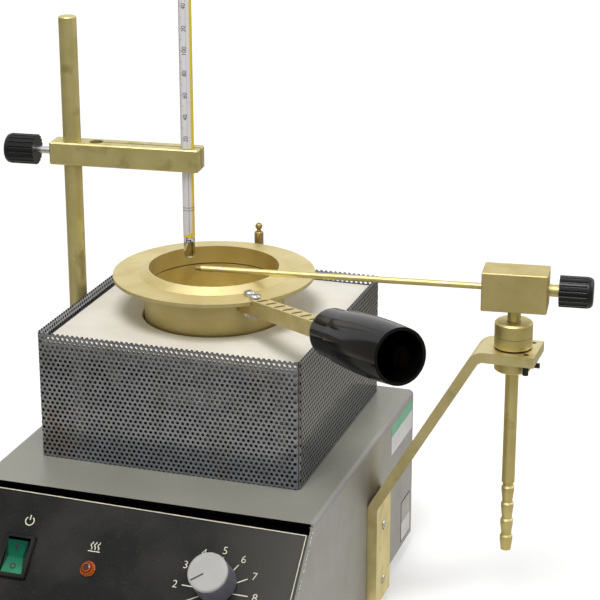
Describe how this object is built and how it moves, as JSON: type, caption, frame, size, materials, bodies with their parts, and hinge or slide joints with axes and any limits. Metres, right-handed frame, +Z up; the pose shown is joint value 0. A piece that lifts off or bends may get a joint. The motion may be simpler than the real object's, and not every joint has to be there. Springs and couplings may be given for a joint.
{
  "type": "open cup flash point tester",
  "caption": "Electrically heated open cup flash point tester with sloping control panel, sheet guard, lift-out test cup, thermometer stand and swinging gas test flame.",
  "frame": {"origin": "on the bench, under the axis of the test cup", "axes": "+Z up, +X to the right along the front panel, +Y to the back; the sloping panel faces -Y and +Z"},
  "size_m": [0.2925, 0.2302, 0.4812],
  "materials": {
    "grey_paint": "hammered grey paint",
    "rubber": "matt",
    "fascia_black": "satin",
    "green_rocker": "translucent",
    "amber_lens": "translucent",
    "black_plastic": "satin",
    "bakelite": "polished",
    "knob_grey": "satin",
    "zinc_steel": "zinc plated",
    "dark_steel": "blackened",
    "guard_steel": "perforated, bare",
    "board_white": "fibre board",
    "element_ceramic": "ceramic",
    "plate_aluminium": "turned",
    "brass_satin": "satin",
    "stem_glass": "clear",
    "mercury": "mirror"
  },
  "bodies": {
    "housing": {"housing_cover": "grey_paint", "rear_panel": "grey_paint", "base_tray": "grey_paint", "feet": "rubber", "base_screws": "zinc_steel", "control_panel": "fascia_black", "switch_bezel": "fascia_black", "lamp_body": "black_plastic", "lamp_lens": "amber_lens", "heat_regulator": "black_plastic", "inlet_socket": "black_plastic", "inlet_pins": "zinc_steel", "inlet_screws": "zinc_steel", "fuse_carrier": "black_plastic", "heat_guard": "guard_steel", "guard_screws": "zinc_steel", "insulation_board": "board_white", "board_posts": "zinc_steel", "plate_pillars": "zinc_steel", "heat_shield": "zinc_steel", "heater_element": "element_ceramic", "hot_plate": "plate_aluminium", "column_bush": "brass_satin", "column_nut": "zinc_steel", "burner_bracket": "brass_satin", "bracket_screws": "zinc_steel", "bracket_nuts": "zinc_steel", "pivot_bush": "brass_satin", "bush_ring": "brass_satin", "ring_screw": "dark_steel", "stop_screws": "dark_steel", "bead_post": "brass_satin", "comparison_bead": "brass_satin", "bead_nut": "zinc_steel"},
    "column": {"column_rod": "brass_satin"},
    "arm": {"thermometer_arm": "brass_satin"},
    "clamp": {"clamp_screw": "zinc_steel", "clamp_knob": "black_plastic"},
    "thermometer": {"thermometer_stem": "stem_glass", "thermometer_bulb": "mercury"},
    "cup": {"test_cup": "brass_satin", "handle_bar": "brass_satin", "handle_grip": "bakelite", "handle_screws": "zinc_steel", "handle_nuts": "zinc_steel", "grip_nut": "zinc_steel"},
    "burner": {"gas_tube": "brass_satin", "upper_collar": "brass_satin", "collar_screw": "zinc_steel", "valve_block": "brass_satin", "jet_tube": "brass_satin", "jet_tip": "dark_steel"},
    "valve": {"valve_spindle": "brass_satin", "valve_knob": "black_plastic"},
    "switch": {"rocker": "green_rocker"},
    "heat_control": {"control_knob": "knob_grey", "knob_cap": "knob_grey", "control_spindle": "zinc_steel"}
  },
  "joints": [
    {"name": "burner_swing", "type": "hinge", "parent": "housing", "child": "burner", "pos_m": [0.149, 0, 0.15], "axis": [0, 0, 1], "range_deg": [-60, 17]},
    {"name": "gas_valve", "type": "hinge", "parent": "burner", "child": "valve", "pos_m": [0.16886, 0.00237, 0.17635], "axis": [0.993, 0.1184, 0], "range_deg": [0, 720]},
    {"name": "arm_swivel", "type": "hinge", "parent": "housing", "child": "column", "pos_m": [-0.073, 0, 0.09], "axis": [0, 0, -1], "range_deg": [-150, 0]},
    {"name": "arm_height", "type": "slide", "parent": "column", "child": "arm", "axis": [0, 0, -1], "range_m": [-0.058, 0.026]},
    {"name": "arm_clamp", "type": "hinge", "parent": "arm", "child": "clamp", "pos_m": [-0.08495, -0.00105, 0.2236], "axis": [-0.9962, -0.0872, 0], "range_deg": [0, 360]},
    {"name": "thermometer_slide", "type": "slide", "parent": "arm", "child": "thermometer", "axis": [0, 0, 1], "range_m": [-0.0282, 0.03]},
    {"name": "cup_turn", "type": "hinge", "parent": "housing", "child": "cup", "pos_m": [0, 0, 0.1356], "axis": [0, 0, -1], "range_deg": [-20, 110]},
    {"name": "power_switch", "type": "hinge", "parent": "housing", "child": "switch", "pos_m": [-0.054, -0.11673, 0.06156], "axis": [-1, 0, 0], "range_deg": [0, 18]},
    {"name": "heat_setting", "type": "hinge", "parent": "housing", "child": "heat_control", "pos_m": [0.0434, -0.11722, 0.06474], "axis": [0, 0.7071, -0.7071], "range_deg": [-23, 277]}
  ]
}
